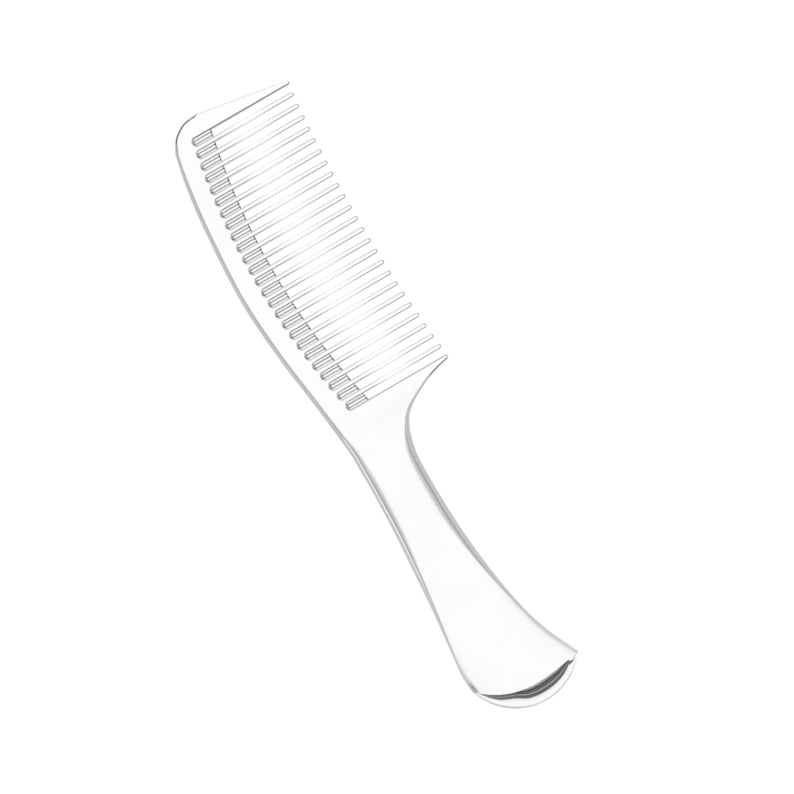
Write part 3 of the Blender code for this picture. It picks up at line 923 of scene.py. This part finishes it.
# Emission of the light table near the comb, where it stays dimmer as a painted contact shadow, what is added
# away from it, and what is added for painted pools of light
FLOOR_NEAR, FLOOR_PAST_PAINTED_SHADOW, FLOOR_PAINTED_LIGHT = 1.0, 0.12, 0.85


def distance_from(tree, place, low_x, high_x, low_y, high_y):
    """Distance over the floor from an upright rectangle, in metres; the sides are in millimetres."""
    shifted = node(tree, "ShaderNodeVectorMath", operation="SUBTRACT")
    shifted.inputs[1].default_value = ((low_x + high_x) / 2 * MM, (low_y + high_y) / 2 * MM, 0.0)
    tree.links.new(place, shifted.inputs[0])
    folded = node(tree, "ShaderNodeVectorMath", operation="ABSOLUTE")
    tree.links.new(shifted.outputs["Vector"], folded.inputs[0])
    past = node(tree, "ShaderNodeVectorMath", operation="SUBTRACT")
    past.inputs[1].default_value = ((high_x - low_x) / 2 * MM, (high_y - low_y) / 2 * MM, 1.0)
    tree.links.new(folded.outputs["Vector"], past.inputs[0])
    kept = node(tree, "ShaderNodeVectorMath", operation="MAXIMUM")
    tree.links.new(past.outputs["Vector"], kept.inputs[0])
    length = node(tree, "ShaderNodeVectorMath", operation="LENGTH")
    tree.links.new(kept.outputs["Vector"], length.inputs[0])
    return length.outputs["Value"]


def floor():
    """A white light table with painted light and shade in its emission: dimmer near the comb as a painted
    contact shadow, a little brighter far from it, and brighter still in painted pools of light in front of
    the butt and beside the handle."""
    reach = 6.0
    mesh = bpy.data.meshes.new("floor")
    corners = [(-reach, -reach, 0.0), (reach, -reach, 0.0), (reach, reach, 0.0), (-reach, reach, 0.0)]
    mesh.from_pydata([(x, y, cad_low.z) for x, y, _ in corners], [], [(0, 1, 2, 3)])
    finish = bpy.data.materials.new("floor")
    finish.use_nodes = True
    tree = finish.node_tree
    shader = tree.nodes["Principled BSDF"]
    shader.inputs["Base Color"].default_value = (0.03, 0.03, 0.03, 1.0)
    shader.inputs["Roughness"].default_value = 1.0
    shader.inputs["Specular IOR Level"].default_value = 0.0
    shader.inputs["Emission Color"].default_value = (1.0, 1.0, 1.0, 1.0)
    spot = node(tree, "ShaderNodeTexCoord").outputs["Object"]
    split = node(tree, "ShaderNodeSeparateXYZ")
    tree.links.new(spot, split.inputs["Vector"])
    from_head = distance_from(tree, spot, cad_low.x / MM, TIP_X, NECK_Y, HEAD_END_Y)
    from_handle = distance_from(tree, spot, -20.0, 1.0, cad_low.y / MM + 2.0, NECK_Y)
    nearest = math_node(tree, "MINIMUM", from_head, from_handle)
    # The limits of these bands are metres
    # far is 0 within 9 mm of the comb and 1 beyond 17 mm: near the comb the floor keeps less emission, a
    # painted contact shadow that the steel's steep edges reflect as dark lines
    far = band(tree, nearest, 0.017, 5.0, 0.008, 1.0)
    # ahead and beside mark painted pools of light on the floor, in front of the butt and beside the handle,
    # for the steel's edges to reflect
    ahead = band(tree, split.outputs["Y"], -5.0, -0.100, 1.0, 0.02)
    beside = math_node(tree, "MULTIPLY", band(tree, split.outputs["X"], -5.0, -0.055, 1.0, 0.01),
                       band(tree, split.outputs["Y"], -0.046, -0.012, 0.01, 0.01))
    painted_light_pools = math_node(tree, "MAXIMUM", ahead, beside)
    lit = math_node(tree, "MULTIPLY_ADD", painted_light_pools, FLOOR_PAINTED_LIGHT, FLOOR_PAST_PAINTED_SHADOW)
    lit = math_node(tree, "MULTIPLY_ADD", far, lit, FLOOR_NEAR)
    tree.links.new(lit, shader.inputs["Emission Strength"])
    mesh.materials.append(finish)
    made = bpy.data.objects.new("floor", mesh)
    bpy.context.scene.collection.objects.link(made)


def main():
    back_steel = steel("back_steel", (0.47, 0.47, 0.467), (900.0, 25.0, 900.0), 0.0)
    tooth_steel = steel("tooth_steel", (0.47, 0.47, 0.467), (25.0, 1400.0, 1400.0), 3.0)
    handle_steel = steel("handle_steel", (0.47, 0.468, 0.463), (700.0, 20.0, 700.0), 7.0)
    comb_back(back_steel)
    tang(back_steel)
    for index in range(TOOTH_COUNT):
        tooth(index, tooth_steel)
    handle_shell("handle_front_pressing", "handle_front_shell", 1, handle_steel)
    handle_shell("handle_rear_pressing", "handle_rear_shell", -1, handle_steel)
    butt_cap(handle_steel)
    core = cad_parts["handle_core"]
    core.data.materials.clear()
    core.data.materials.append(filler("handle_filler"))
    camera()
    sky()
    softbox()
    floor()
    bpy.context.scene.view_settings.view_transform = "Standard"
    bpy.context.scene.view_settings.look = "None"


main()
